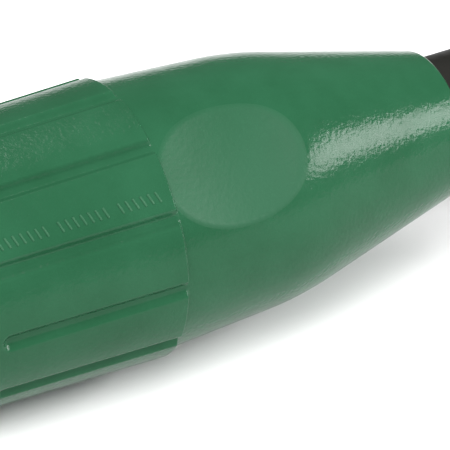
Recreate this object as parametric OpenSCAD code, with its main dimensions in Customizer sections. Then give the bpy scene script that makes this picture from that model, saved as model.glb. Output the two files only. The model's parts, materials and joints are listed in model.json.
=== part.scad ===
/* [Sleeve] */
// Length of the swivel sleeve
sleeve_len = 130; // [125:1:140]
// Radius over the raised pads, at the step behind the grip
pad_r = 32.3; // [32:0.1:33]
// Radius over the raised pads, at the rim
rim_r = 31.3; // [31:0.1:32]
// Depth of the grooves
groove_depth = 1.3; // [1:0.1:1.6]
// Number of pads around the grip
pad_count = 12; // [8:2:16]
// Length of the ribbed grip
grip_len = 49.5; // [46:0.5:52]
// Width of each groove
groove_w = 3; // [2:0.1:4]
// Depth of the thumb scoops
scoop_depth = 3.1; // [2:0.1:3.4]

/* [Hose] */
// Outside diameter of the whip hose
hose_d = 30; // [28:0.5:30]
// Bore of the whip hose
hose_bore = 19; // [18.5:0.5:20]

/* [Spout] */
// Outside diameter of the spout
spout_d = 21; // [20.5:0.1:21.5]
// Wall of the spout
spout_wall = 1.5; // [1.2:0.1:1.8]
// Bend of the spout
spout_bend = 23; // [18:1:26]
// Straight length after the bend
spout_end_len = 80; // [70:1:90]

/* [Lever] */
// Width of the lever
lever_w = 18; // [16:1:20]
// Lift of the main valve at full pull
valve_lift = 8.48; // [6:0.01:8.6]

/* [Hidden] */
$fn = 96;
e = 0.01;
gap = 0.3;

// Local frame: the inlet axis is X, +Y is the lever side, Z is across the nozzle
valve_x = -118;
latch_x = -158;
lever_y = 38;
spout_tilt = 12;
bend_r = 150;
bend_swell = 0.06;
straight_in = 50;
land_r = pad_r - groove_depth;
mid_r = 28.9;
neck_r = 17.2;
mid_x = 84.6;
cone_x = sleeve_len - 0.3;
sleeve_bore = 24.5;
// Guard screws, and the cover screws as [x, y, bottom, seat of the head]
rear_screw_x = -24.5;
front_screw_x = latch_x - 10.2;
cover_holes = [[-138, 10, 9.5, 21], [-138, -10, 9.5, 21], [-60, 0, 12, 17.3]];
thread_len = 16;
spout_x0 = latch_x - 20*cos(spout_tilt);
spout_y0 = 2 + 20*sin(spout_tilt);
spout_r = spout_d/2;
end_tilt = spout_tilt + spout_bend;
bend_x = spout_x0 - straight_in*cos(spout_tilt);
bend_y = spout_y0 + straight_in*sin(spout_tilt);
arc_x = bend_x - bend_r*(sin(end_tilt) - sin(spout_tilt));
arc_y = bend_y + bend_r*(cos(spout_tilt) - cos(end_tilt));
tip_x = arc_x - spout_end_len*cos(end_tilt);
tip_y = arc_y + spout_end_len*sin(end_tilt);
x_low = tip_x - spout_r*sin(end_tilt);
guard_y = 97;
top_y = -41;
off_x = -(x_low + cone_x)/2;
off_y = -(guard_y + top_y)/2;
rest_r = pad_r;

// Route of the whip hose, from the coupling to the end fitting
ROUTE = [
  [72, 0, 0], [88, 0, 0], [104, 0, 0], [120, 0, 0], [136, 0, 0], [152, 0, 0], [168, 0, -0.5],
  [184, 0.5, -2.5], [200, 2, -5.5], [215, 5, -9], [230, 9, -12.5], [245, 14.5, -15.2],
  [259.5, 21, -16.8], [273.5, 29, -17.3], [286.5, 38, -17], [298.5, 48, -15.8],
  [310, 59, -14.6], [321.5, 70.5, -14.3], [333, 82, -14.3], [344, 93, -14.3]
];
end_a = 45;

function unit(v) = v/norm(v);
function tangent(p, i) = unit(p[min(i + 1, len(p) - 1)] - p[max(i - 1, 0)]);
function side_of(t, up) = unit(cross(t, up));
function ring_at(c, t, up, r, n) = let (a = side_of(t, up), b = cross(a, t))
  [for (k = [0:n - 1]) c + r*(cos(360*k/n)*a + sin(360*k/n)*b)];
function coil_path(r, turns, h, n) =
  [for (k = [0:turns*n]) [r*cos(360*k/n), r*sin(360*k/n), h*k/(turns*n)]];
function side_faces(m, n, o) = [for (i = [0:m - 2], k = [0:n - 1])
  [o + i*n + k, o + i*n + (k + 1) % n, o + (i + 1)*n + (k + 1) % n, o + (i + 1)*n + k]];

module place() {
  translate([off_x, off_y, rest_r]) children();
}

// Cylinder along X from x0 to x1
module along_x(x0, x1, r1, r2 = -1) {
  translate([x0, 0, 0]) rotate([0, 90, 0])
    cylinder(h = x1 - x0, r1 = r1, r2 = r2 < 0 ? r1 : r2);
}

// Cylinder along Y from y0 to y1
module along_y(y0, y1, r1, r2 = -1) {
  translate([0, y0, 0]) rotate([-90, 0, 0])
    cylinder(h = y1 - y0, r1 = r1, r2 = r2 < 0 ? r1 : r2);
}

// Ring of round section, centred on its own axis
module o_ring(ring_r, wire_r) {
  rotate_extrude() translate([ring_r, 0]) circle(r = wire_r, $fn = 32);
}

// Solid rod swept along points, n sides
module sweep(p, r, n, up) {
  m = len(p);
  pts = [for (i = [0:m - 1]) each ring_at(p[i], tangent(p, i), up, r, n)];
  ends = [[for (k = [0:n - 1]) n - 1 - k], [for (k = [0:n - 1]) (m - 1)*n + k]];
  polyhedron(points = pts, faces = concat(side_faces(m, n, 0), ends), convexity = 6);
}

// Compression spring along +Z
module coil(r, wire_r, turns, h) {
  sweep(coil_path(r, turns, h, 14), wire_r, 6, [0, 0, 1]);
}

// Hexagon along X with a flat facing down
module hex_x(x0, x1, flats) {
  translate([x0, 0, 0]) rotate([0, 90, 0])
    cylinder(h = x1 - x0, r = flats/2/cos(30), $fn = 6);
}

// Puts a child drawn along +Z onto the spout axis at distance s from the latch axis
module on_spout(s) {
  translate([latch_x - s*cos(spout_tilt), 2 + s*sin(spout_tilt), 0])
    rotate([0, 0, -spout_tilt]) rotate([0, -90, 0]) children();
}

// Tube or rod that follows the spout
module spout_run(r, lead, drop, cut) {
  translate([drop*sin(spout_tilt), drop*cos(spout_tilt), 0]) {
    translate([spout_x0, spout_y0, 0]) rotate([0, 0, -spout_tilt]) rotate([0, -90, 0])
      translate([0, 0, lead]) cylinder(h = straight_in - lead + 1, r = r);
  }
  translate([bend_x + bend_r*sin(spout_tilt), bend_y + bend_r*cos(spout_tilt), 0])
    rotate([0, 0, -90 - end_tilt]) rotate_extrude(angle = spout_bend)
      translate([bend_r - drop, 0]) circle(r = r + bend_swell);
  translate([drop*sin(end_tilt), drop*cos(end_tilt), 0])
    translate([arc_x, arc_y, 0]) rotate([0, 0, -end_tilt]) rotate([0, -90, 0])
      translate([0, 0, -1]) cylinder(h = spout_end_len + cut + 1, r = r);
}

// Outside of the casting, grown by c
module casting(c) {
  along_x(-112, -8, 16 + c);
  along_x(-10 - c, 18, 22 + c);
  translate([0, -3, 0]) along_x(-106, -76, 21 + c, 13.5 + c);
  translate([valve_x, 0, 0]) along_y(-34 - c, 20 + c, 21.4 + c);
  translate([latch_x, 0, 0]) along_y(-24 - c, 24 + c, 19 + c);
  translate([latch_x, -18 - c, -16 - c]) cube([40, 36 + 2*c, 32 + 2*c]);
  on_spout(0) cylinder(h = 34, r = 17 + c);
}

module valve_body() {
  color("silver") place() difference() {
    union() {
      casting(0);
      // Lug for the rear of the guard
      translate([rear_screw_x - 5.5, 12, -5]) cube([17, 12, 10]);
      // Lug for the front of the guard
      translate([latch_x - 15, 14, -5]) cube([9, 14, 10]);
    }
    along_x(-6, 19, 12);
    along_x(-92, 0, 10.5);
    // Sloped port into the valve chamber
    translate([-84, -3, 0]) rotate([0, 0, 31]) along_x(-34, 0, 7);
    translate([valve_x, 0, 0]) {
      along_y(-35, -1, 17);
      along_y(-1 - e, 12, 13);
      along_y(11, 21, 8);
    }
    // Flow passage around the latch tube
    difference() {
      union() {
        translate([0, 5, 0]) along_x(latch_x, valve_x, 7);
        translate([latch_x, 0, 0]) along_y(-7, 13, 15);
        on_spout(0) cylinder(h = 18, r = 8);
      }
      translate([latch_x, 0, 0]) along_y(-8, 14, 9.6);
    }
    translate([latch_x, 0, 0]) {
      along_y(-25, 25, 5.3);
      along_y(-20, 8, 7.8);
      along_y(19, 25, 7.5);
      along_y(-25, -19, 15);
      along_y(-37, -24, 19.2);
    }
    on_spout(17) cylinder(h = 18, r = 12.5);
    translate([rear_screw_x, 0, 0]) along_y(17, 25, 2.5);
    translate([front_screw_x, 0, 0]) along_y(21, 29, 2.5);
    for (m = [0, 1]) mirror([0, 0, m]) for (p = cover_holes)
      translate([p[0], p[1], p[2] - 1]) cylinder(h = 20, r = 1.65);
    // Tapped holes for the diaphragm cap
    for (a = [45:90:315]) translate([latch_x, 0, 0]) rotate([0, a, 0])
      translate([17, 0, 0]) along_y(-25, -14, 1.2);
  }
}

// Outline of the plastic hand cover in plan, inset by t
module cover_outline(t) {
  polygon([
    [-9 - t, 19.5 - t], [-90, 19.5 - t], [-98, 23.4 - t], [-140, 23.4 - t],
    [-144, 22.5 - t], [-178 + t, 22.5 - t], [-183 + t, 16 - t], [-183 + t, -14 + t],
    [-178 + t, -22.5 + t], [-143 + t, -23 + t], [-141 + t, -32.5 + t], [-97 - t, -32.5 + t],
    [-72, -19.5 + t], [-9 - t, -19.5 + t]
  ]);
}

// Rounded cross section of the cover, half width w
module cover_section(w, x0, x1) {
  for (s = [-1, 1]) translate([0, s*9, 0]) along_x(x0, x1, w);
  translate([x0, -9, -w]) cube([x1 - x0, 18, 2*w]);
}

module cover_half() {
  difference() {
    intersection() {
      linear_extrude(height = 27) cover_outline(0);
      union() {
        cover_section(20, -80, 0);
        translate([-96, -12, 0]) along_x(0, 17, 30, 20);
        translate([-192, -40, 0]) cube([96 + e, 70, 25.5]);
        translate([-192, -30, 0]) cube([96 + e, 50, 27]);
      }
    }
    casting(gap);
    // Shaft holes and cap recesses
    translate([valve_x, 0, 0]) {
      along_y(15, 40, 13);
      along_y(-50, -28, 22);
    }
    translate([latch_x, 0, 0]) {
      along_y(15, 40, 9);
      along_y(-50, -20, 20.5);
    }
    translate([-31, 10, -6]) cube([35, 16, 12]);
    translate([latch_x - 24, 10, -6]) cube([20, 20, 12]);
    for (p = cover_holes) translate([p[0], p[1], -e]) cylinder(h = 40, r = 1.8);
    for (p = cover_holes) translate([p[0], p[1], p[3]]) cylinder(h = 40, r = 3.4);
  }
}

module cover_right() {
  color("seagreen") place() cover_half();
}

module cover_left() {
  color("seagreen") place() mirror([0, 0, 1]) cover_half();
}

module cover_screws() {
  color("dimgray") place() for (m = [0, 1]) mirror([0, 0, m]) for (p = cover_holes)
    translate([p[0], p[1], 0]) difference() {
      union() {
        translate([0, 0, p[2]]) cylinder(h = p[3] - p[2] + e, r = 1.6);
        translate([0, 0, p[3]]) cylinder(h = 2.6, r = 3.2);
      }
      translate([0, 0, p[3] + 1]) cylinder(h = 4, r = 1.4, $fn = 6);
    }
}

module chamber_cap() {
  color("silver") place() translate([valve_x, 0, 0]) difference() {
    union() {
      along_y(-34, -28, 16.95);
      along_y(-38, -34, 20);
      along_y(top_y, -38, 11);
    }
    along_y(-37, -27, 4.3);
    translate([0, top_y - 1, 0]) rotate([-90, 0, 0]) cylinder(h = 3, r = 5.8, $fn = 6);
    translate([0, -31, 0]) rotate([90, 0, 0]) rotate_extrude()
      translate([16.2, -1]) square([2, 2]);
  }
}

module cap_seal() {
  color("black") place() translate([valve_x, -31, 0]) rotate([90, 0, 0]) o_ring(16.55, 0.34);
}

module main_spring() {
  color("lightgray") place() translate([valve_x, -26.6, 0]) rotate([-90, 0, 0])
    coil(9, 1, 4, 14.2);
}

module main_poppet() {
  color("goldenrod") place() translate([valve_x, 0, 0]) {
    along_y(-11, -7.2, 13.5);
    along_y(-27.6, -11, 3.9);
  }
}

module poppet_seal() {
  color("black") place() translate([valve_x, 0, 0]) difference() {
    along_y(-7.2, -5.05, 13.2);
    along_y(-8, -4, 3.6);
  }
}

module valve_stem() {
  color("lightgray") place() translate([valve_x, 0, 0]) {
    along_y(-7.2, 30.5, 3.5);
    translate([0, 30.5, 0]) sphere(r = 3.5);
  }
}

module valve_seat() {
  color("goldenrod") place() translate([valve_x, 0, 0]) difference() {
    along_y(-5, -1, 16.9);
    along_y(-6, 0, 10.5);
  }
}

module stem_gland() {
  color("goldenrod") place() translate([valve_x, 0, 0]) difference() {
    union() {
      along_y(12, 20, 7.95);
      translate([0, 20, 0]) rotate([-90, 0, 0]) cylinder(h = 2.4, r = 11, $fn = 6);
    }
    along_y(11, 23, 3.8);
    along_y(14.8, 17.2, 6.4);
  }
}

module gland_seal() {
  color("black") place() translate([valve_x, 16, 0]) rotate([90, 0, 0]) o_ring(5.15, 1.15);
}

module latch_plunger() {
  color("lightgray") place() translate([latch_x, 0, 0]) difference() {
    union() {
      along_y(-16, 33, 5);
      along_y(-16, -13, 7.5);
      along_y(32, 44, 5.6);
    }
    along_y(-17, -6, 2);
    translate([0, lever_y, 0]) cylinder(h = 20, r = 2.5, center = true);
  }
}

module plunger_seal() {
  color("black") place() translate([latch_x, 21.5, 0]) rotate([90, 0, 0]) difference() {
    cylinder(h = 3, r = 7.5, center = true);
    cylinder(h = 4, r = 5.3, center = true);
  }
}

module latch_rollers() {
  color("lightgray") place() for (a = [0:120:240]) translate([latch_x, -17.4, 0])
    rotate([0, a, 0]) translate([3.6, 0, 0]) rotate([0, 90, 0])
      cylinder(h = 2.4, r = 1, center = true);
}

module latch_spring() {
  color("lightgray") place() translate([latch_x, -11.9, 0]) rotate([-90, 0, 0])
    coil(6.4, 0.7, 6, 18.8);
}

module diaphragm() {
  color("black") place() translate([latch_x, 0, 0]) {
    difference() {
      along_y(-25, -24, 18.9);
      for (a = [45:90:315]) rotate([0, a, 0]) translate([17, -25.5, 0]) along_y(0, 2, 1.3);
    }
    along_y(-24 - e, -22, 7);
    along_y(-22 - e, -11, 1.7);
  }
}

module diaphragm_cap() {
  color("silver") place() translate([latch_x, 0, 0]) difference() {
    union() {
      along_y(-29, -25, 18.9);
      along_y(-36, -29, 13, 11);
    }
    along_y(-33, -24, 10);
    for (a = [45:90:315]) rotate([0, a, 0]) translate([17, -30, 0]) along_y(0, 6, 1.3);
  }
}

module diaphragm_spring() {
  color("lightgray") place() translate([latch_x, -32.4, 0]) rotate([-90, 0, 0])
    coil(6, 0.55, 4, 6.8);
}

module cap_screws() {
  color("dimgray") place() for (a = [45:90:315]) translate([latch_x, 0, 0]) rotate([0, a, 0])
    translate([17, 0, 0]) difference() {
      union() {
        along_y(-29, -15, 1.15);
        along_y(-31, -29, 2.2);
      }
      translate([0, -31.5, 0]) rotate([-90, 0, 0]) cylinder(h = 1.5, r = 1.1, $fn = 6);
    }
}

// Plan outline of the lever
module lever_outline() {
  polygon([
    [-128, 34.3], [-108, 34.3], [-92, 44], [-60, 54], [-42, 58.4], [-32, 59.4], [-26, 58.2],
    [-24.4, 60.2], [-30, 64.6], [-42, 64.4], [-62, 60.5], [-96, 50.5], [-110, 43], [-128, 41]
  ]);
}

module lever() {
  color("dimgray") place() difference() {
    union() {
      translate([0, 0, -lever_w/2]) linear_extrude(height = lever_w) lever_outline();
      // Fork cheeks at the pivot
      for (s = [-1, 1]) translate([0, 0, s*7.5 - 1.5]) linear_extrude(height = 3)
        polygon([[-161, 33.5], [-120, 34.3], [-112, 44], [-128, 46.5], [-161, 43]]);
      for (s = [-1, 1]) translate([latch_x, lever_y, s*7.5 - 1.5]) cylinder(h = 3, r = 5.5);
    }
    translate([latch_x, lever_y, 0]) cylinder(h = 30, r = 2.55, center = true);
    // Slot for the hold-open clip
    translate([-76, 40, -4.3]) cube([22, 40, 8.6]);
    translate([-65, 57, 0]) cylinder(h = 30, r = 1.5, center = true);
  }
}

module lever_pin() {
  color("lightgray") place() translate([latch_x, lever_y, 0]) {
    cylinder(h = 24, r = 2.5, center = true);
    for (s = [-1, 1]) translate([0, 0, s*10.7]) cylinder(h = 2.6, r = 4, center = true);
  }
}

module hold_open_clip() {
  color("lightgray") place() difference() {
    union() {
      translate([-65, 57, -4]) cylinder(h = 8, r = 3.4);
      translate([0, 0, -4]) linear_extrude(height = 8)
        polygon([[-68.2, 57], [-62, 57], [-60, 70], [-62, 79], [-67, 81], [-67, 78], [-65, 71]]);
    }
    translate([-65, 57, 0]) cylinder(h = 20, r = 1.55, center = true);
  }
}

module clip_pin() {
  color("lightgray") place() translate([-65, 57, 0]) cylinder(h = 18, r = 1.5, center = true);
}

module guard_inner() {
  polygon([
    [-20, 30], [-20, 66], [-26, 80], [-40, 89], [-60, 91], [-120, 91], [-146, 87],
    [-161, 75], [-169, 58], [-172.6, 44], [-172.6, 28]
  ]);
}

module guard_outer() {
  polygon([
    [-13, 24], [-13, 68], [-20, 84], [-36, 95], [-58, guard_y], [-122, guard_y],
    [-150, 92.5], [-167, 79], [-175.5, 60], [-179, 45], [-179, 28], [-164.2, 28], [-164.2, 30],
    [-30, 30], [-30, 24]
  ]);
}

// Hole and sunk seat for a guard screw, in a foot that starts at y
module guard_screw_hole(y) {
  along_y(y - 1, y + 5, 2.7);
  along_y(y + 1.5, y + 5, 3.6);
}

module lever_guard() {
  color("dimgray") place() difference() {
    union() {
      translate([0, 0, -7]) linear_extrude(height = 14) difference() {
        guard_outer();
        guard_inner();
        translate([-164.2, 20]) square([134, 20]);
      }
      // Feet under the body lugs
      translate([rear_screw_x - 5.5, 24, -7]) cube([17, 4, 14]);
      translate([latch_x - 21, 28, -7]) cube([14.8, 4, 14]);
      // Rack for the hold-open clip
      for (i = [0:2]) translate([-74 + 6*i, 87.5 - 1.2*i, -3]) cube([2, 5 + 1.2*i, 6]);
    }
    translate([rear_screw_x, 0, 0]) guard_screw_hole(24);
    translate([front_screw_x, 0, 0]) guard_screw_hole(28);
  }
}

module guard_screws() {
  color("lightgray") place() for (p = [[rear_screw_x, 24], [front_screw_x, 28]])
    translate([p[0], p[1], 0]) difference() {
      union() {
        along_y(-5.5, 1.6, 2.4);
        along_y(1.5, 3.8, 3.5);
      }
      translate([0, 2.2, 0]) rotate([-90, 0, 0]) cylinder(h = 3, r = 1.8, $fn = 6);
    }
}

module check_seat() {
  color("goldenrod") place() on_spout(17) difference() {
    cylinder(h = 3, r = 12.4);
    translate([0, 0, -1]) cylinder(h = 5, r = 6.5);
  }
}

module check_poppet() {
  color("gold") place() on_spout(20.1) {
    cylinder(h = 3, r1 = 7.8, r2 = 7);
    cylinder(h = 20, r = 1.8);
  }
}

module check_spring() {
  color("lightgray") place() on_spout(23.7) coil(5, 0.5, 4, 9.6);
}

module check_guide() {
  color("goldenrod") place() on_spout(34) difference() {
    cylinder(h = 3, r = spout_r - spout_wall - 0.05);
    translate([0, 0, -1]) cylinder(h = 5, r = 2.1);
    for (a = [0:120:240]) rotate([0, 0, a]) translate([5.4, 0, -1]) cylinder(h = 5, r = 2.2);
  }
}

module spout_tube() {
  color("silver") place() difference() {
    spout_run(spout_r, 0, 0, 0);
    spout_run(spout_r - spout_wall, -1, 0, 1);
    translate([arc_x, arc_y, 0]) rotate([0, 0, -end_tilt]) rotate([0, -90, 0]) {
      // Groove that holds the coil, and the sensing port near the tip
      translate([0, 0, spout_end_len - 41]) rotate_extrude()
        translate([spout_r - 0.3, 0]) square([1, 1]);
      translate([0, 5, spout_end_len - 6]) rotate([-90, 0, 0]) cylinder(h = 8, r = 1.5);
    }
  }
}

module sensing_tube() {
  color("lightgray") place() difference() {
    spout_run(2, 17, 6.6, -8);
    spout_run(1.2, 16, 6.6, -7);
  }
}

module spout_tip() {
  color("gray") place() translate([arc_x, arc_y, 0]) rotate([0, 0, -end_tilt])
    rotate([0, -90, 0]) translate([0, 0, spout_end_len - 12]) difference() {
      cylinder(h = 12, r = spout_r - spout_wall - 0.02);
      translate([0, 0, -1]) cylinder(h = 14, r = 7.4);
      translate([0, 6.6, -1]) cylinder(h = 8, r = 2.2);
      translate([0, 5, 6]) rotate([-90, 0, 0]) cylinder(h = 8, r = 1.5);
    }
}

module spout_nut() {
  color("silver") place() on_spout(29) difference() {
    union() {
      cylinder(h = 14, r = 20.5);
      translate([0, 0, 14 - e]) cylinder(h = 4, r1 = 16, r2 = 13.5);
    }
    translate([0, 0, -1]) cylinder(h = 6.2, r = 17.05);
    translate([0, 0, -1]) cylinder(h = 20, r = spout_r + 0.05);
    for (a = [0:30:330]) rotate([0, 0, a]) translate([21.4, 0, -1]) cylinder(h = 12, r = 1.8);
  }
}

module spout_coil() {
  color("lightgray") place() translate([arc_x, arc_y, 0]) rotate([0, 0, -end_tilt])
    rotate([0, -90, 0]) translate([0, 0, 4]) coil(spout_r + 1.6, 1.4, 9, 32);
}

module splash_guard() {
  color("dimgray") place() on_spout(50) difference() {
    union() {
      cylinder(h = 14, r = 14);
      cylinder(h = 4, r = rest_r);
      translate([0, 0, 4 - e]) cylinder(h = 5, r1 = 24, r2 = 14);
    }
    translate([0, 0, -1]) cylinder(h = 20, r = spout_r + 0.05);
  }
}

module inlet_strainer() {
  color("silver") place() difference() {
    along_x(-36, -7, 8, 9.6);
    translate([-1, 0, 0]) along_x(-34, -5, 7.2, 8.8);
    for (i = [0:3], a = [0:60:300]) rotate([a, 0, 0]) translate([-31 + 6*i, 0, 5])
      cylinder(h = 8, r = 1.5);
  }
}

module swivel_stem() {
  color("goldenrod") place() difference() {
    union() {
      along_x(-6, 22, 11.98);
      along_x(18, 22, 17);
      along_x(20, 46, 12.5);
    }
    along_x(-8, 48, 8.5);
    for (x = [27, 41]) translate([x, 0, 0]) rotate([0, 90, 0]) rotate_extrude()
      translate([10.2, -1.3]) square([4, 2.6]);
    translate([34, 0, 0]) rotate([0, 90, 0]) o_ring(12.65, 2.15);
  }
}

module swivel_seals() {
  color("black") place() for (x = [27, 41]) translate([x, 0, 0]) rotate([0, 90, 0])
    o_ring(11.35, 1.1);
}

module swivel_balls() {
  color("lightgray") place() for (a = [11.25:22.5:360]) rotate([a, 0, 0])
    translate([34, 12.65, 0]) sphere(r = 1.85, $fn = 32);
}

module swivel_housing() {
  color("silver") place() difference() {
    union() {
      along_x(23, 28, 24.4);
      along_x(27, 52, 22);
      along_x(51, 56, 24.4);
      hex_x(55, 60, 40);
    }
    along_x(22, 47, 12.8);
    along_x(46, 61, 13.2);
    translate([34, 0, 0]) rotate([0, 90, 0]) o_ring(12.65, 2.15);
  }
}

module hose_coupling() {
  color("silver") place() difference() {
    union() {
      along_x(47.5, 60, 13.15);
      hex_x(60, 69, 34);
      along_x(69, 108, 9.15);
      for (x = [80:6:104]) along_x(x, x + 3, 9.15, 9.45);
    }
    along_x(47, 109, 7);
  }
}

module ferrule_ring(len) {
  difference() {
    union() {
      along_x(0, len, 17.4);
      for (x = [4:7:len - 6]) along_x(x, x + 4, 17.8);
    }
    along_x(2, len + 1, hose_d/2 + 0.05);
    along_x(-1, 3, 9.2);
  }
}

module hose_ferrule() {
  color("silver") place() translate([70, 0, 0]) ferrule_ring(37);
}

// Revolved section of the sleeve, before pads and scoops
module sleeve_shape() {
  rotate([0, 90, 0]) rotate_extrude() polygon([
    [sleeve_bore + 1, 0], [rim_r - 1, 0], [rim_r, 1], [pad_r, grip_len], [land_r, grip_len],
    [mid_r, mid_x], [neck_r, cone_x - 1], [neck_r - 0.6, cone_x], [hose_d/2 + 0.3, cone_x],
    [hose_d/2 + 0.3, cone_x - 11], [sleeve_bore, 84], [sleeve_bore, 1]
  ]);
}

// Groove between two pads, closed by a round end near the rim
module groove() {
  translate([5 + groove_w/2, 0, land_r - 4]) {
    cylinder(h = 8, r = groove_w/2);
    translate([0, -groove_w/2, 0]) cube([60, groove_w, 8]);
  }
}

// Thumb scoop: a cylinder laid across the sleeve
module scoop() {
  scoop_r = 55;
  translate([70, 0, 30 - scoop_depth + scoop_r]) rotate([90, 0, 0])
    cylinder(h = 60, r = scoop_r, center = true);
}

function mark_x(i) = 8 + 1.8*i;

module boot_sleeve() {
  color([0.2, 0.45, 0.31]) place() {
    difference() {
      sleeve_shape();
      difference() {
        for (k = [0:pad_count - 1]) rotate([360*k/pad_count, 0, 0]) groove();
        along_x(0, grip_len, rim_r - groove_depth, land_r);
      }
      for (a = [45, 225]) rotate([a, 0, 0]) intersection() {
        scoop();
        translate([grip_len, -40, 0]) cube([60, 80, 90]);
      }
    }
    // Raised tick marks on one pad
    rotate([40, 0, 0]) for (i = [0:21]) if (i % 8 != 7)
      translate([mark_x(i), 0, rim_r + (pad_r - rim_r)*mark_x(i)/grip_len - 0.5])
        rotate([0, 0, 18]) translate([-0.35, -1.3, 0]) cube([0.7, 2.6, 0.75]);
  }
}

// Tube swept along the route, with its bore
module whip_hose() {
  n = 12;
  m = len(ROUTE);
  up = [0, 0, 1];
  outer = [for (i = [0:m - 1]) each ring_at(ROUTE[i], tangent(ROUTE, i), up, hose_d/2, n)];
  inner = [for (i = [0:m - 1])
    each ring_at(ROUTE[i], tangent(ROUTE, i), up, hose_bore/2/cos(180/n) + 0.05, n)];
  skin = side_faces(m, n, 0);
  bore = [for (f = side_faces(m, n, m*n)) [f[3], f[2], f[1], f[0]]];
  a_end = [for (k = [0:n - 1]) [(k + 1) % n, k, m*n + k, m*n + (k + 1) % n]];
  z = (m - 1)*n;
  b_end = [for (k = [0:n - 1])
    [z + k, z + (k + 1) % n, z + m*n + (k + 1) % n, z + m*n + k]];
  color([0.16, 0.15, 0.14]) place()
    polyhedron(points = concat(outer, inner), faces = concat(skin, bore, a_end, b_end),
      convexity = 8);
}

// Puts a child drawn along +X at the far end of the hose
module at_hose_end(back) {
  translate(ROUTE[len(ROUTE) - 1]) rotate([0, 0, end_a]) translate([-back, 0, 0]) children();
}

module end_ferrule() {
  color("silver") place() at_hose_end(0) mirror([1, 0, 0]) translate([-3, 0, 0])
    ferrule_ring(32);
}

module end_fitting() {
  color("goldenrod") place() at_hose_end(0) difference() {
    union() {
      along_x(-28, 5, 9.15);
      rotate([30, 0, 0]) hex_x(4, 14, 36);
      along_x(13, 17, 12);
      along_x(16, 16 + thread_len, 13.2);
    }
    along_x(-29, 33, 7);
  }
}

module maker_disc() {
  color("gray") place() translate([latch_x, -36, 0]) along_y(-1.2, 0, 8);
}

valve_body();
cover_right();
cover_left();
cover_screws();
chamber_cap();
cap_seal();
main_spring();
main_poppet();
poppet_seal();
valve_stem();
valve_seat();
stem_gland();
gland_seal();
latch_plunger();
plunger_seal();
latch_rollers();
latch_spring();
diaphragm();
diaphragm_cap();
diaphragm_spring();
cap_screws();
lever();
lever_pin();
hold_open_clip();
clip_pin();
lever_guard();
guard_screws();
check_seat();
check_poppet();
check_spring();
check_guide();
spout_tube();
spout_tip();
spout_nut();
spout_coil();
splash_guard();
sensing_tube();
inlet_strainer();
swivel_stem();
swivel_seals();
swivel_balls();
swivel_housing();
hose_coupling();
hose_ferrule();
boot_sleeve();
whip_hose();
end_ferrule();
end_fitting();
maker_disc();
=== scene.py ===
"""Fuel nozzle: detailed pieces, materials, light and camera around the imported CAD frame."""
import json
import math

import bmesh
import bpy
import numpy as np
from mathutils import Matrix, Vector


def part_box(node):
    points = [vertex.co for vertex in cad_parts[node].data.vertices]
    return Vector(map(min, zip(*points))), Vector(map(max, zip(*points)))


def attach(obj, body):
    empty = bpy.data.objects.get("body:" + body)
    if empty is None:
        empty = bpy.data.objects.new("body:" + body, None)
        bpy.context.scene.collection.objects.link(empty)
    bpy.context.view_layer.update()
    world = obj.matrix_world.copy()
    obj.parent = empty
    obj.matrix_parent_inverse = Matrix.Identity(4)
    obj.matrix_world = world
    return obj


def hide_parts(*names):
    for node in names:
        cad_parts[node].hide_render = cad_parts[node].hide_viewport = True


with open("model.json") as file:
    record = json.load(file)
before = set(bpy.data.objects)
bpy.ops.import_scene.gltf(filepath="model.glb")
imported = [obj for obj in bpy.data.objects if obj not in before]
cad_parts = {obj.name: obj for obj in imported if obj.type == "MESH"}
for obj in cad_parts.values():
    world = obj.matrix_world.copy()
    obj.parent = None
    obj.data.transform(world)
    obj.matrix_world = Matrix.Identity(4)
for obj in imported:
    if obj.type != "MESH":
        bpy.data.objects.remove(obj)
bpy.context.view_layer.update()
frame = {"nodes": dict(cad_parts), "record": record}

MM = 0.001
# Shapes are set out in a local frame: X on the inlet axis from the sleeve's front face, in mm
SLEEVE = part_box("boot_sleeve")
OFF = Vector((SLEEVE[0][0], (SLEEVE[0][1] + SLEEVE[1][1]) / 2, (SLEEVE[0][2] + SLEEVE[1][2]) / 2))


def row(x, y, z=0.0):
    """A point of the local frame, in millimetres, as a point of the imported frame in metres."""
    return OFF + Vector((x, y, z)) * MM


# ---------------------------------------------------------------- camera
def aim(obj, eye, target):
    obj.location = eye
    obj.rotation_euler = (Vector(target) - Vector(eye)).to_track_quat("-Z", "Y").to_euler()


CAM_TARGET = row(73.3, -5.1, -6.7)
AZIMUTH = math.radians(-29.4)
ELEVATION = math.radians(33.5)
FRAME_WIDTH = 0.1008
LENS = 350.0
SENSOR = 36.0
VIEW_DIR = Vector((
    math.sin(AZIMUTH) * math.cos(ELEVATION),
    -math.cos(AZIMUTH) * math.cos(ELEVATION),
    math.sin(ELEVATION),
))
cam_data = bpy.data.cameras.new("camera")
cam_data.lens = LENS
cam_data.sensor_width = SENSOR
cam_data.clip_end = 20.0
camera = bpy.data.objects.new("camera", cam_data)
bpy.context.scene.collection.objects.link(camera)
aim(camera, CAM_TARGET + VIEW_DIR * FRAME_WIDTH * LENS / SENSOR, CAM_TARGET)
bpy.context.scene.camera = camera


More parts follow.
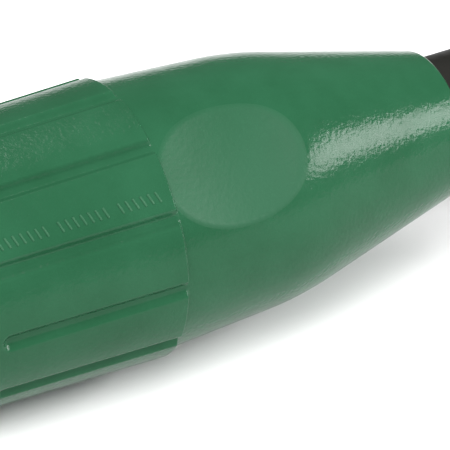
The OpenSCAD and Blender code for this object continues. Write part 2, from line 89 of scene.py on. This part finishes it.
# ---------------------------------------------------------------- materials
class Graph:
    """A small helper for building shader trees."""

    def __init__(self, name):
        self.mat = bpy.data.materials.new(name)
        self.mat.use_nodes = True
        self.tree = self.mat.node_tree
        self.bsdf = self.tree.nodes["Principled BSDF"]
        coord = self.tree.nodes.new("ShaderNodeTexCoord")
        self.place = coord.outputs["Object"]

    def node(self, kind, **values):
        n = self.tree.nodes.new(kind)
        for key, value in values.items():
            if key in n.inputs:
                n.inputs[key].default_value = value
            else:
                setattr(n, key, value)
        return n

    def link(self, a, b):
        self.tree.links.new(a, b)

    def noise(self, scale, detail=3.0, rough=0.55, stretch=None):
        n = self.node("ShaderNodeTexNoise", Scale=scale, Detail=detail, Roughness=rough)
        source = self.place
        if stretch:
            m = self.node("ShaderNodeMapping")
            m.inputs["Scale"].default_value = stretch
            self.link(self.place, m.inputs["Vector"])
            source = m.outputs["Vector"]
        self.link(source, n.inputs["Vector"])
        return n.outputs["Fac"]

    def ramp(self, value, low, high, out_low, out_high):
        n = self.node("ShaderNodeMapRange")
        for key, v in zip(("From Min", "From Max", "To Min", "To Max"), (low, high, out_low, out_high)):
            n.inputs[key].default_value = v
        self.link(value, n.inputs["Value"])
        return n.outputs["Result"]

    def mix(self, fac, a, b):
        n = self.node("ShaderNodeMix", data_type="RGBA")
        for sock, value in ((n.inputs[0], fac), (n.inputs[6], a), (n.inputs[7], b)):
            if hasattr(value, "is_output"):
                self.link(value, sock)
            else:
                sock.default_value = value
        return n.outputs[2]

    def math(self, op, a, b):
        n = self.node("ShaderNodeMath", operation=op)
        for sock, value in zip(n.inputs, (a, b)):
            if hasattr(value, "is_output"):
                self.link(value, sock)
            else:
                sock.default_value = value
        return n.outputs[0]

    def bump(self, height, distance, strength=1.0, before=None):
        n = self.node("ShaderNodeBump", Strength=strength, Distance=distance)
        self.link(height, n.inputs["Height"])
        if before is not None:
            self.link(before, n.inputs["Normal"])
        return n.outputs["Normal"]

    def edge_wear(self, width=0.52, top=0.60):
        """1 on worn convex edges, 0 on flats, broken up by noise."""
        geo = self.node("ShaderNodeNewGeometry")
        sharp = self.ramp(geo.outputs["Pointiness"], width, top, 0.0, 1.0)
        return self.math("MULTIPLY", sharp, self.ramp(self.noise(420.0, 4.0), 0.42, 0.6, 0.0, 1.0))


def rgb(r, g, b):
    return (r, g, b, 1.0)


def elastomer(name, base, dark, rough=(0.15, 0.22), peel=0.00009, grain=0.00001, gloss=0.10,
              matte_and_sheen=None):
    """Moulded soft plastic: slight orange peel, faint mottling, semi-gloss."""
    g = Graph(name)
    tone = g.mix(g.ramp(g.noise(55.0, 5.0, 0.6), 0.3, 0.7, 0.0, 1.0), base, dark)
    g.link(tone, g.bsdf.inputs["Base Color"])
    roughness = g.ramp(g.noise(260.0, 3.0), 0.3, 0.7, *rough)
    if matte_and_sheen:
        # A point attribute marks where the mould was left with a matt finish, which raises the roughness;
        # the same mask mixes in a paler green as a painted sheen
        mask = g.node("ShaderNodeAttribute", attribute_name="matte_and_sheen").outputs["Fac"]
        roughness = g.math("MAXIMUM", roughness, g.ramp(mask, 0.0, 0.1, 0.0, 0.48))
        tone = g.mix(mask, tone, matte_and_sheen)
        g.link(tone, g.bsdf.inputs["Base Color"])
    g.link(roughness, g.bsdf.inputs["Roughness"])
    coarse = g.bump(g.noise(900.0, 2.0, 0.5), peel)
    fine = g.bump(g.noise(2600.0, 2.0, 0.6), grain, before=coarse)
    g.link(fine, g.bsdf.inputs["Normal"])
    g.bsdf.inputs["Specular IOR Level"].default_value = gloss
    return g.mat


def moulded(name, base, dark, wear_col, rough=(0.45, 0.6), grain=0.00003, gloss=0.2):
    """Hard moulded plastic with a fine spark-eroded grain and rubbed edges."""
    g = Graph(name)
    tone = g.mix(g.ramp(g.noise(70.0, 4.0), 0.3, 0.7, 0.0, 1.0), base, dark)
    g.link(g.mix(g.edge_wear(), tone, wear_col), g.bsdf.inputs["Base Color"])
    g.link(g.ramp(g.noise(300.0, 4.0), 0.3, 0.7, *rough), g.bsdf.inputs["Roughness"])
    g.link(g.bump(g.noise(1700.0, 3.0, 0.7), grain), g.bsdf.inputs["Normal"])
    g.bsdf.inputs["Specular IOR Level"].default_value = gloss
    return g.mat


def metal(name, base, dark, rough, scratch=(1.0, 1.0, 1.0), scale=700.0, cast=False):
    """Bare metal with stains, fine marks and brighter rubbed edges."""
    g = Graph(name)
    g.bsdf.inputs["Metallic"].default_value = 1.0
    tone = g.mix(g.ramp(g.noise(60.0, 5.0), 0.35, 0.7, 0.0, 1.0), base, dark)
    bright = tuple(min(1.0, c * 1.18) for c in base[:3]) + (1.0,)
    g.link(g.mix(g.edge_wear(), tone, bright), g.bsdf.inputs["Base Color"])
    marks = g.noise(scale, 4.0, 0.65, scratch)
    g.link(g.ramp(marks, 0.3, 0.7, *rough), g.bsdf.inputs["Roughness"])
    normal = g.bump(marks, 0.00002)
    if cast:
        normal = g.bump(g.noise(900.0, 5.0, 0.75), 0.00012, before=normal)
    g.link(normal, g.bsdf.inputs["Normal"])
    return g.mat


MAT = {
    # sleeve_green's paler second colour is a painted sheen, mixed in where the scoops catch the light
    "sleeve_green": elastomer("sleeve_green", rgb(0.0170, 0.0790, 0.0380), rgb(0.0125, 0.0640, 0.0290),
                              matte_and_sheen=rgb(0.0225, 0.083, 0.0435)),
    # A paler green for the raised ticks, a painted highlight where they catch the light
    "mark_highlight_green": elastomer("mark_highlight_green", rgb(0.029, 0.100, 0.052), rgb(0.022, 0.086, 0.043), (0.3, 0.4)),
    "cover_green": moulded("cover_green", rgb(0.0140, 0.0730, 0.0335), rgb(0.0125, 0.0660, 0.0300),
                           rgb(0.021, 0.088, 0.045), (0.30, 0.42), gloss=0.12),
    "black_plastic": moulded("black_plastic", rgb(0.014, 0.014, 0.015), rgb(0.010, 0.010, 0.011),
                             rgb(0.030, 0.030, 0.030)),
    "black_rubber": elastomer("black_rubber", rgb(0.012, 0.012, 0.012), rgb(0.016, 0.015, 0.015),
                              (0.5, 0.68), 0.00008, gloss=0.15),
    "hose_rubber": elastomer("hose_rubber", rgb(0.0085, 0.0085, 0.007), rgb(0.0115, 0.011, 0.0095),
                             (0.42, 0.55), 0.00004, gloss=0.12),
    "black_steel": moulded("black_steel", rgb(0.016, 0.016, 0.018), rgb(0.011, 0.011, 0.012),
                           rgb(0.030, 0.030, 0.032), (0.34, 0.48), 0.00002),
    "cast_aluminium": metal("cast_aluminium", rgb(0.25, 0.255, 0.26), rgb(0.19, 0.195, 0.20),
                            (0.42, 0.58), cast=True),
    "machined_aluminium": metal("machined_aluminium", rgb(0.31, 0.315, 0.32), rgb(0.25, 0.255, 0.26),
                                (0.28, 0.40), scale=1500.0),
    "spout_aluminium": metal("spout_aluminium", rgb(0.29, 0.295, 0.30), rgb(0.23, 0.235, 0.24),
                             (0.30, 0.46), (0.15, 1.0, 1.0), 1800.0),
    "steel": metal("steel", rgb(0.24, 0.24, 0.245), rgb(0.185, 0.18, 0.175), (0.28, 0.46), scale=1200.0),
    "spring_steel": metal("spring_steel", rgb(0.27, 0.27, 0.275), rgb(0.21, 0.205, 0.20),
                          (0.24, 0.38), scale=1400.0),
    "brass": metal("brass", rgb(0.34, 0.225, 0.085), rgb(0.26, 0.165, 0.06), (0.28, 0.44), scale=1200.0),
}


def new_piece(name, mesh_or_curve, mat, body, *nodes, slot=None):
    obj = bpy.data.objects.new(name, mesh_or_curve)
    bpy.context.scene.collection.objects.link(obj)
    obj.data.materials.append(MAT[mat])
    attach(obj, body)
    if nodes:
        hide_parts(*nodes)
    return obj


# ---------------------------------------------------------------- whip hose
HOSE_D = 0.030
ROUTE = [
    (72, 0, 0), (88, 0, 0), (104, 0, 0), (120, 0, 0), (136, 0, 0), (152, 0, 0), (168, 0, -0.5),
    (184, 0.5, -2.5), (200, 2, -5.5), (215, 5, -9), (230, 9, -12.5), (245, 14.5, -15.2),
    (259.5, 21, -16.8), (273.5, 29, -17.3), (286.5, 38, -17), (298.5, 48, -15.8),
    (310, 59, -14.6), (321.5, 70.5, -14.3), (333, 82, -14.3), (344, 93, -14.3),
]
HOSE_POINTS = [row(*p) for p in ROUTE[1:]]


def curve_through(name, points, radius, bevel=10, steps=6):
    data = bpy.data.curves.new(name, "CURVE")
    data.dimensions = "3D"
    data.bevel_depth = radius
    data.bevel_resolution = bevel
    data.resolution_u = steps
    data.use_fill_caps = True
    spline = data.splines.new("BEZIER")
    spline.bezier_points.add(len(points) - 1)
    for i, (bp, p) in enumerate(zip(spline.bezier_points, points)):
        bp.co = p
        before = points[max(i - 1, 0)]
        after = points[min(i + 1, len(points) - 1)]
        heading = (Vector(after) - Vector(before)).normalized()
        gaps = (Vector(p) - Vector(before)).length, (Vector(after) - Vector(p)).length
        reach = min(gaps[0] or 1.0, gaps[1] or 1.0) / 3.0
        bp.handle_left_type = bp.handle_right_type = "FREE"
        bp.handle_left = Vector(p) - heading * reach
        bp.handle_right = Vector(p) + heading * reach
    return data


hose = new_piece("hose_body", curve_through("hose_body", HOSE_POINTS, HOSE_D / 2, 16, 8),
                 "hose_rubber", "swivel", "whip_hose")

# ---------------------------------------------------------------- sleeve
RIM_R, PAD_R, GROOVE, GRIP_END = 31.3, 32.3, 1.3, 49.5
LAND_R = PAD_R - GROOVE
MID_R, MID_X, NECK_R, CONE_X, BORE_R = 28.9, 84.6, 17.2, 129.7, 24.5
PADS = 12
SCOOP_X, SCOOP_R, SCOOP_FLOOR = 70.0, 55.0, 26.9
SCOOP_ANGLES = (45.0, 225.0)
GROOVE_START, GROOVE_HALF, GROOVE_NARROWS, GROOVE_EDGE, GROOVE_SHARE = 6.5, 1.5, 0.2, 1.7, 0.95
STEP_LEAD, STEP_LONG = 0.35, 0.95
# How far one surface blends into the next
CONE_BLEND, SCOOP_BLEND, SCOOP_BLEND_MORE = 1.6, 0.22, 1.1
FRONT_ROUND, NECK_ROUND = 1.0, 1.2


def smooth(t):
    t = np.clip(t, 0.0, 1.0)
    return t * t * (3.0 - 2.0 * t)


def soft_min(a, b, k):
    h = np.clip(0.5 + 0.5 * (b - a) / k, 0.0, 1.0)
    return b * (1.0 - h) + a * h - k * h * (1.0 - h)


def sleeve_radius(x, angle):
    """Outside radius in mm at x along the sleeve and angle in degrees, 0 towards -Y and 90 up."""
    grip = LAND_R + (PAD_R - RIM_R) * (x / GRIP_END - 1.0)
    mid = LAND_R + (MID_R - LAND_R) * (x - GRIP_END) / (MID_X - GRIP_END)
    cone = MID_R + (NECK_R - MID_R) * (x - MID_X) / (CONE_X - MID_X)
    r = soft_min(np.where(x < GRIP_END, grip, mid), cone, CONE_BLEND)
    pitch = 360.0 / PADS
    arc = np.radians((angle + pitch / 2) % pitch - pitch / 2) * LAND_R
    half = GROOVE_HALF - GROOVE_NARROWS * x / GRIP_END
    away = np.hypot(np.maximum(GROOVE_START - x, 0.0), arc) - half
    pad = 1.0 - GROOVE_SHARE * (1.0 - smooth(away / GROOVE_EDGE + 0.5))
    r = r + GROOVE * pad * smooth((GRIP_END + STEP_LEAD - x) / STEP_LONG)
    depth = SCOOP_FLOOR + SCOOP_R - np.sqrt(np.maximum(SCOOP_R ** 2 - (x - SCOOP_X) ** 2, 1.0))
    for centre in SCOOP_ANGLES:
        off = (angle - centre + 180.0) % 360.0 - 180.0
        limit = np.where((np.abs(off) < 50.0) & (x > GRIP_END - 0.1) & (x < 100.0),
                         depth / np.cos(np.radians(np.clip(off, -60.0, 60.0))), 99.0)
        r = soft_min(r, limit, SCOOP_BLEND + SCOOP_BLEND_MORE * smooth((x - 78.0) / 12.0))
    front = np.clip(FRONT_ROUND - x, 0.0, 1.0)
    r = r - (1.0 - np.sqrt(1.0 - front ** 2))
    back = np.clip((x - (CONE_X - NECK_ROUND)) / NECK_ROUND, 0.0, 1.0)
    return r - NECK_ROUND * (1.0 - np.sqrt(1.0 - back ** 2))


def spaced(*spans):
    """Stations from (start, end, step) spans, without repeats."""
    out = []
    for a, b, step in spans:
        n = max(1, int(round((b - a) / step)))
        out += [a + (b - a) * k / n for k in range(n)]
    return out


def grid_mesh(name, points):
    """A mesh from points[row][column], closed round its columns and its rows."""
    rows, cols = points.shape[:2]
    a = np.arange(rows * cols).reshape(rows, cols)
    nxt = np.roll(a, -1, axis=1)
    below = np.roll(a, -1, axis=0)
    below_nxt = np.roll(below, -1, axis=1)
    quads = np.stack([a, nxt, below_nxt, below], axis=-1).reshape(-1, 4)
    mesh = bpy.data.meshes.new(name)
    mesh.from_pydata(points.reshape(-1, 3).tolist(), [], quads.tolist())
    mesh.polygons.foreach_set("use_smooth", [True] * len(mesh.polygons))
    mesh.update()
    return mesh


OUTER_X = spaced((0.0, 1.0, 0.1), (1.0, 4.4, 0.6), (4.4, 7.6, 0.22), (7.6, 48.7, 1.0), (48.7, 50.1, 0.1),
                 (50.1, 89.0, 0.36), (89.0, 128.5, 0.8), (128.5, 129.7, 0.12)) + [CONE_X]
INNER = [(CONE_X, 15.7), (CONE_X - 0.4, 15.3), (CONE_X - 11.0, 15.3), (100.0, 20.26), (84.0, BORE_R),
         (40.0, BORE_R), (1.0, BORE_R), (0.3, BORE_R + 0.4), (0.0, BORE_R + 1.0), (0.0, 29.0)]
COLUMNS = 720
angles = np.linspace(0.0, 360.0, COLUMNS, endpoint=False)
station_x, station_r = [], []
for x in OUTER_X:
    station_x.append(x)
    station_r.append(sleeve_radius(np.full(COLUMNS, x), angles))
for x, r in INNER:
    station_x.append(x)
    station_r.append(np.full(COLUMNS, r))
xs = np.repeat(np.array(station_x)[:, None], COLUMNS, axis=1)
rs = np.array(station_r)
cos_a, sin_a = np.cos(np.radians(angles)), np.sin(np.radians(angles))
sleeve_points = np.stack([
    OFF.x + xs * MM,
    OFF.y - rs * cos_a * MM,
    OFF.z + rs * sin_a * MM,
], axis=-1)
sleeve_mesh = grid_mesh("sleeve_body", sleeve_points[:, ::-1])


# The least share of matt finish and painted sheen in a scoop, how much more painted sheen it reaches, and
# the mm or degrees it fades over
MATTE_SHEEN_LEAST, SHEEN_MORE, SHEEN_FADE = 0.12, 0.68, 45.0


def scoop_share(x, angle):
    """Share of matt finish and painted sheen: over 0 in a scoop, the painted sheen fading to the corner
    by the grip, and 0 outside it.
    """
    depth = SCOOP_FLOOR + SCOOP_R - np.sqrt(np.maximum(SCOOP_R ** 2 - (x - SCOOP_X) ** 2, 1.0))
    share = np.zeros_like(angle)
    for centre in SCOOP_ANGLES:
        off = np.radians((angle - centre + 180.0) % 360.0 - 180.0)
        flat = depth / np.cos(np.clip(off, -1.0, 1.0))
        inside = smooth((sleeve_radius(x, angle) - flat + 0.55) / 0.45)
        fade = MATTE_SHEEN_LEAST + SHEEN_MORE * smooth(
            0.62 + (x - SCOOP_X) / SHEEN_FADE - np.degrees(off) / SHEEN_FADE)
        share = np.maximum(share, inside * fade)
    return np.where((x > GRIP_END) & (x < 90.0), share, 0.0)


# Per-point share of matt finish and painted sheen in the scoops
matte_and_sheen = np.zeros((len(station_x), COLUMNS))
for i, x in enumerate(OUTER_X):
    matte_and_sheen[i] = scoop_share(np.full(COLUMNS, x), angles)
sleeve_mesh.attributes.new("matte_and_sheen", "FLOAT", "POINT").data.foreach_set("value", matte_and_sheen[:, ::-1].ravel())
new_piece("sleeve_body", sleeve_mesh, "sleeve_green", "swivel", "boot_sleeve")


def rounded_bar(bm, centre, x_dir, y_dir, z_dir, size, segments=2):
    """A small box with rounded edges, its middle at centre."""
    made = bmesh.ops.create_cube(bm, size=1.0)
    basis = Matrix((x_dir, y_dir, z_dir)).transposed().to_4x4()
    turn = Matrix.Translation(centre) @ basis @ Matrix.Diagonal((*size, 1.0))
    bmesh.ops.transform(bm, matrix=turn, verts=made["verts"])
    edges = list({e for v in made["verts"] for e in v.link_edges})
    bmesh.ops.bevel(bm, geom=edges, offset=min(size) * 0.3, segments=segments, affect="EDGES",
                    profile=0.5)


TICKS, TICK_GROUP, TICK_X, TICK_STEP = 22, 8, 8.0, 1.8
TICK_LEN, TICK_W, TICK_HIGH, TICK_SUNK = 2.6, 0.5, 0.5, 0.1
TICK_LEAN = math.radians(18.0)
ticks = bmesh.new()
mark_angle = math.radians(40.0)
radial = Vector((0.0, -math.cos(mark_angle), math.sin(mark_angle)))
around = Vector((1.0, 0.0, 0.0)).cross(radial)
for i in range(TICKS):
    if i % TICK_GROUP == TICK_GROUP - 1:
        continue
    along = Vector((1.0, 0.0, 0.0)) * math.cos(TICK_LEAN) - around * math.sin(TICK_LEAN)
    up_mark = radial.cross(along)
    x = TICK_X + TICK_STEP * i
    spot = row(x, 0, 0) + radial * (RIM_R + (PAD_R - RIM_R) * x / GRIP_END - TICK_SUNK) * MM
    rounded_bar(ticks, spot, along, up_mark, radial, (TICK_W * MM, TICK_LEN * MM, TICK_HIGH * MM))
tick_mesh = bpy.data.meshes.new("sleeve_ticks")
ticks.to_mesh(tick_mesh)
ticks.free()
# The ticks take the paler green, a painted highlight
new_piece("sleeve_ticks", tick_mesh, "mark_highlight_green", "swivel", slot="sleeve_green")

# ---------------------------------------------------------------- spout pieces
SPOUT_TILT = math.radians(12.0)
END_TILT = math.radians(35.0)
LATCH_X = -158.0
STRAIGHT_IN, BEND_R = 50.0, 150.0


def heading(tilt):
    return Vector((-math.cos(tilt), math.sin(tilt), 0.0))


def inward(tilt):
    return Vector((math.sin(tilt), math.cos(tilt), 0.0))


SPOUT_0 = Vector((LATCH_X, 2.0, 0.0)) + heading(SPOUT_TILT) * 20.0
BEND_0 = SPOUT_0 + heading(SPOUT_TILT) * STRAIGHT_IN
ARC_END = BEND_0 + inward(SPOUT_TILT) * BEND_R - inward(END_TILT) * BEND_R
UP = Vector((0.0, 0.0, 1.0))


def in_row(p):
    return row(p.x, p.y, p.z)


def lathe(name, origin, axis, profile, columns, warp=None):
    """Turns (distance along axis, radius) points, in mm, about an axis in the local frame."""
    side = axis.cross(UP).normalized() if abs(axis.z) < 0.9 else Vector((1.0, 0.0, 0.0))
    other = axis.cross(side).normalized()
    turn = np.linspace(0.0, 2.0 * math.pi, columns, endpoint=False)
    pts = np.zeros((len(profile), columns, 3))
    for i, (along, radius) in enumerate(profile):
        for j, a in enumerate(turn):
            r, s = (radius, along) if warp is None else warp(radius, along, a)
            p = origin + axis * s + (side * math.cos(a) + other * math.sin(a)) * r
            pts[i, j] = in_row(p)
    return grid_mesh(name, pts)


# The anchor coil is a wire wound in a close helix
COIL_R, WIRE_R, COIL_TURNS, COIL_START, COIL_LONG = 12.1, 1.4, 9, 4.0, 32.0
COIL_STEPS = 16  # points for each turn
coil_axis, coil_side = heading(END_TILT), inward(END_TILT)
coil_points = []
for k in range(COIL_TURNS * COIL_STEPS + 1):
    a = 2.0 * math.pi * k / COIL_STEPS
    along = COIL_START + COIL_LONG * k / (COIL_TURNS * COIL_STEPS)
    coil_points.append(in_row(ARC_END + coil_axis * along
                              + (coil_side * math.cos(a) + UP * math.sin(a)) * COIL_R))
new_piece("anchor_coil", curve_through("anchor_coil", coil_points, WIRE_R * MM, 4, 3),
          "spring_steel", "nozzle_body", "spout_coil")


# The splash guard is a soft cup with a bead at its rim and shallow rings on its back
def splash_profile():
    pts = [(0.0, 10.6), (0.0, 29.6), (0.5, 31.0), (1.6, 32.1), (2.6, 32.3), (3.4, 31.8), (4.0, 30.8),
           (4.1, 29.8)]
    for i in range(5):
        r = 29.0 - 2.6 * i
        ring = 4.5 + 0.25 * i
        pts += [(3.6 + 0.1 * i, r), (ring, r - 0.7), (ring, r - 1.4), (3.8 + 0.2 * i, r - 2.1)]
    pts += [(6.6, 16.4), (8.4, 14.6), (9.6, 14.0), (12.8, 13.9), (13.6, 13.5), (14.0, 12.8), (14.0, 10.6)]
    return pts


SPLASH_ALONG = 30.0
splash_mesh = lathe("splash_cup", SPOUT_0 + heading(SPOUT_TILT) * SPLASH_ALONG,
                    heading(SPOUT_TILT), splash_profile(), 144)
new_piece("splash_cup", splash_mesh, "black_rubber", "nozzle_body", "splash_guard")

# The hose end: a plain tail, a hexagon, an undercut and a helical thread
THREAD_R, THREAD_PITCH, THREAD_DEPTH = 13.2, 1.814, 1.1
THREAD_0, THREAD_1 = 16.5, 31.2
HEX_FLAT, HEX_CORNER = 18.0, 20.3
HEX = 99.0  # stands in a profile for the radius of a hexagon, which fitting_warp sets
FITTING_TURN = math.radians(45.0)
hose_end = Vector(ROUTE[-1])
hose_dir = Vector((math.cos(FITTING_TURN), math.sin(FITTING_TURN), 0.0))


def fitting_warp(radius, along, a):
    """Makes the hexagon and the helical thread of a profile point at angle a."""
    if radius == HEX:
        turn = (math.degrees(a) - 60.0) % 60.0 - 30.0
        return min(HEX_FLAT / math.cos(math.radians(turn)), HEX_CORNER), along
    if THREAD_0 < along < THREAD_1 and radius > 12.0:
        phase = (along / THREAD_PITCH - a / (2.0 * math.pi)) % 1.0
        run_out = min(1.0, (along - THREAD_0) / 1.5, (THREAD_1 - along) / 1.2)
        return radius - THREAD_DEPTH * run_out * (1.0 - abs(2.0 * phase - 1.0)), along
    return radius, along


fitting_profile = [(-28.0, 7.0), (-28.0, 9.1), (3.8, 9.1), (4.0, 9.3), (4.0, 16.6), (4.2, 17.3),
                   (4.9, HEX), (13.1, HEX), (13.8, 17.3), (14.0, 16.6), (14.0, 12.0), (14.3, 11.8),
                   (16.2, 11.8), (16.4, 12.3)]
fitting_profile += [(THREAD_0 + 0.18 * k, THREAD_R) for k in range(82)]
fitting_profile += [(31.3, 13.1), (32.0, 12.4), (32.0, 8.0), (31.4, 7.0)]
fitting_mesh = lathe("end_coupler", hose_end, hose_dir, fitting_profile, 120, fitting_warp)
end_coupler = new_piece("end_coupler", fitting_mesh, "brass", "swivel", "end_fitting")

# ---------------------------------------------------------------- CAD pieces that stay, with materials
SLOT_OF = {s["node"]: s["material_slot"] for s in frame["record"]["subparts"]}
BEVEL_MM = {
    "valve_body": 0.8, "spout_nut": 0.5, "chamber_cap": 0.6, "diaphragm_cap": 0.6,
    "hose_ferrule": 0.3, "end_ferrule": 0.3, "swivel_housing": 0.4, "hose_coupling": 0.3,
    "hold_open_clip": 0.4, "cover_screws": 0.25, "cap_screws": 0.2, "guard_screws": 0.4,
    "lever_pin": 0.3, "stem_gland": 0.4, "maker_disc": 0.3, "spout_tube": 0.25,
}
BEVEL_ANGLE = math.radians(32.0)
# Moulded pieces are rounded all over: voxel size in mm and smoothing passes
ROUNDED = {
    "cover_right": (0.7, 10), "cover_left": (0.7, 10), "lever_guard": (0.8, 22), "lever": (0.6, 8),
}
for node_name, obj in frame["nodes"].items():
    slot_name = SLOT_OF[node_name]
    if not obj.material_slots:
        obj.data.materials.append(MAT[slot_name])
    for material_slot in obj.material_slots:
        material_slot.material = MAT[slot_name]
    if node_name in ROUNDED:
        voxel, passes = ROUNDED[node_name]
        remesh = obj.modifiers.new("remesh", "REMESH")
        remesh.mode = "VOXEL"
        remesh.voxel_size = voxel * MM
        remesh.use_smooth_shade = True
        relax = obj.modifiers.new("relax", "SMOOTH")
        relax.factor = 0.5
        relax.iterations = passes
    if node_name in BEVEL_MM:
        bevel = obj.modifiers.new("edges", "BEVEL")
        bevel.width = BEVEL_MM[node_name] * MM
        bevel.segments = 3
        bevel.limit_method = "ANGLE"
        bevel.angle_limit = BEVEL_ANGLE

# ---------------------------------------------------------------- floor and light
floor_mesh = bpy.data.meshes.new("floor")
FLOOR_HALF, FLOOR_DROP = 3.0, 0.0002
corners = [(x * FLOOR_HALF, y * FLOOR_HALF, 0) for x, y in ((-1, -1), (1, -1), (1, 1), (-1, 1))]
floor_mesh.from_pydata(corners, [], [(0, 1, 2, 3)])
floor = bpy.data.objects.new("floor", floor_mesh)
floor.location = (0.0, 0.0, -FLOOR_DROP)
bpy.context.scene.collection.objects.link(floor)
paper = Graph("paper")
paper.bsdf.inputs["Base Color"].default_value = rgb(0.87, 0.87, 0.87)
paper.bsdf.inputs["Roughness"].default_value = 0.9
paper.bsdf.inputs["Specular IOR Level"].default_value = 0.1
floor_mesh.materials.append(paper.mat)

world = bpy.data.worlds.new("studio")
world.use_nodes = True
world.node_tree.nodes["Background"].inputs["Color"].default_value = rgb(1.0, 1.0, 1.0)
world.node_tree.nodes["Background"].inputs["Strength"].default_value = 0.18
bpy.context.scene.world = world


# Name, direction from the middle of the sleeve, distance, size and power
FOCUS = row(75, 0, 0)
SOFTBOXES = (
    ("streak", (0.80, -0.47, 0.38), 0.9, (0.45, 0.26), 9.0),
    ("key", (-0.36, -0.42, 0.90), 1.4, (1.1, 1.1), 33.0),
    ("overhead", (0.0, 0.45, 0.9), 1.2, (0.6, 0.6), 8.0),
)
for name, direction, distance, size, power in SOFTBOXES:
    data = bpy.data.lights.new(name, "AREA")
    data.shape = "RECTANGLE"
    data.size, data.size_y = size
    data.energy = power
    light = bpy.data.objects.new(name, data)
    bpy.context.scene.collection.objects.link(light)
    aim(light, FOCUS + Vector(direction).normalized() * distance, FOCUS)
bpy.context.scene.view_settings.view_transform = "Standard"
bpy.context.scene.view_settings.look = "None"
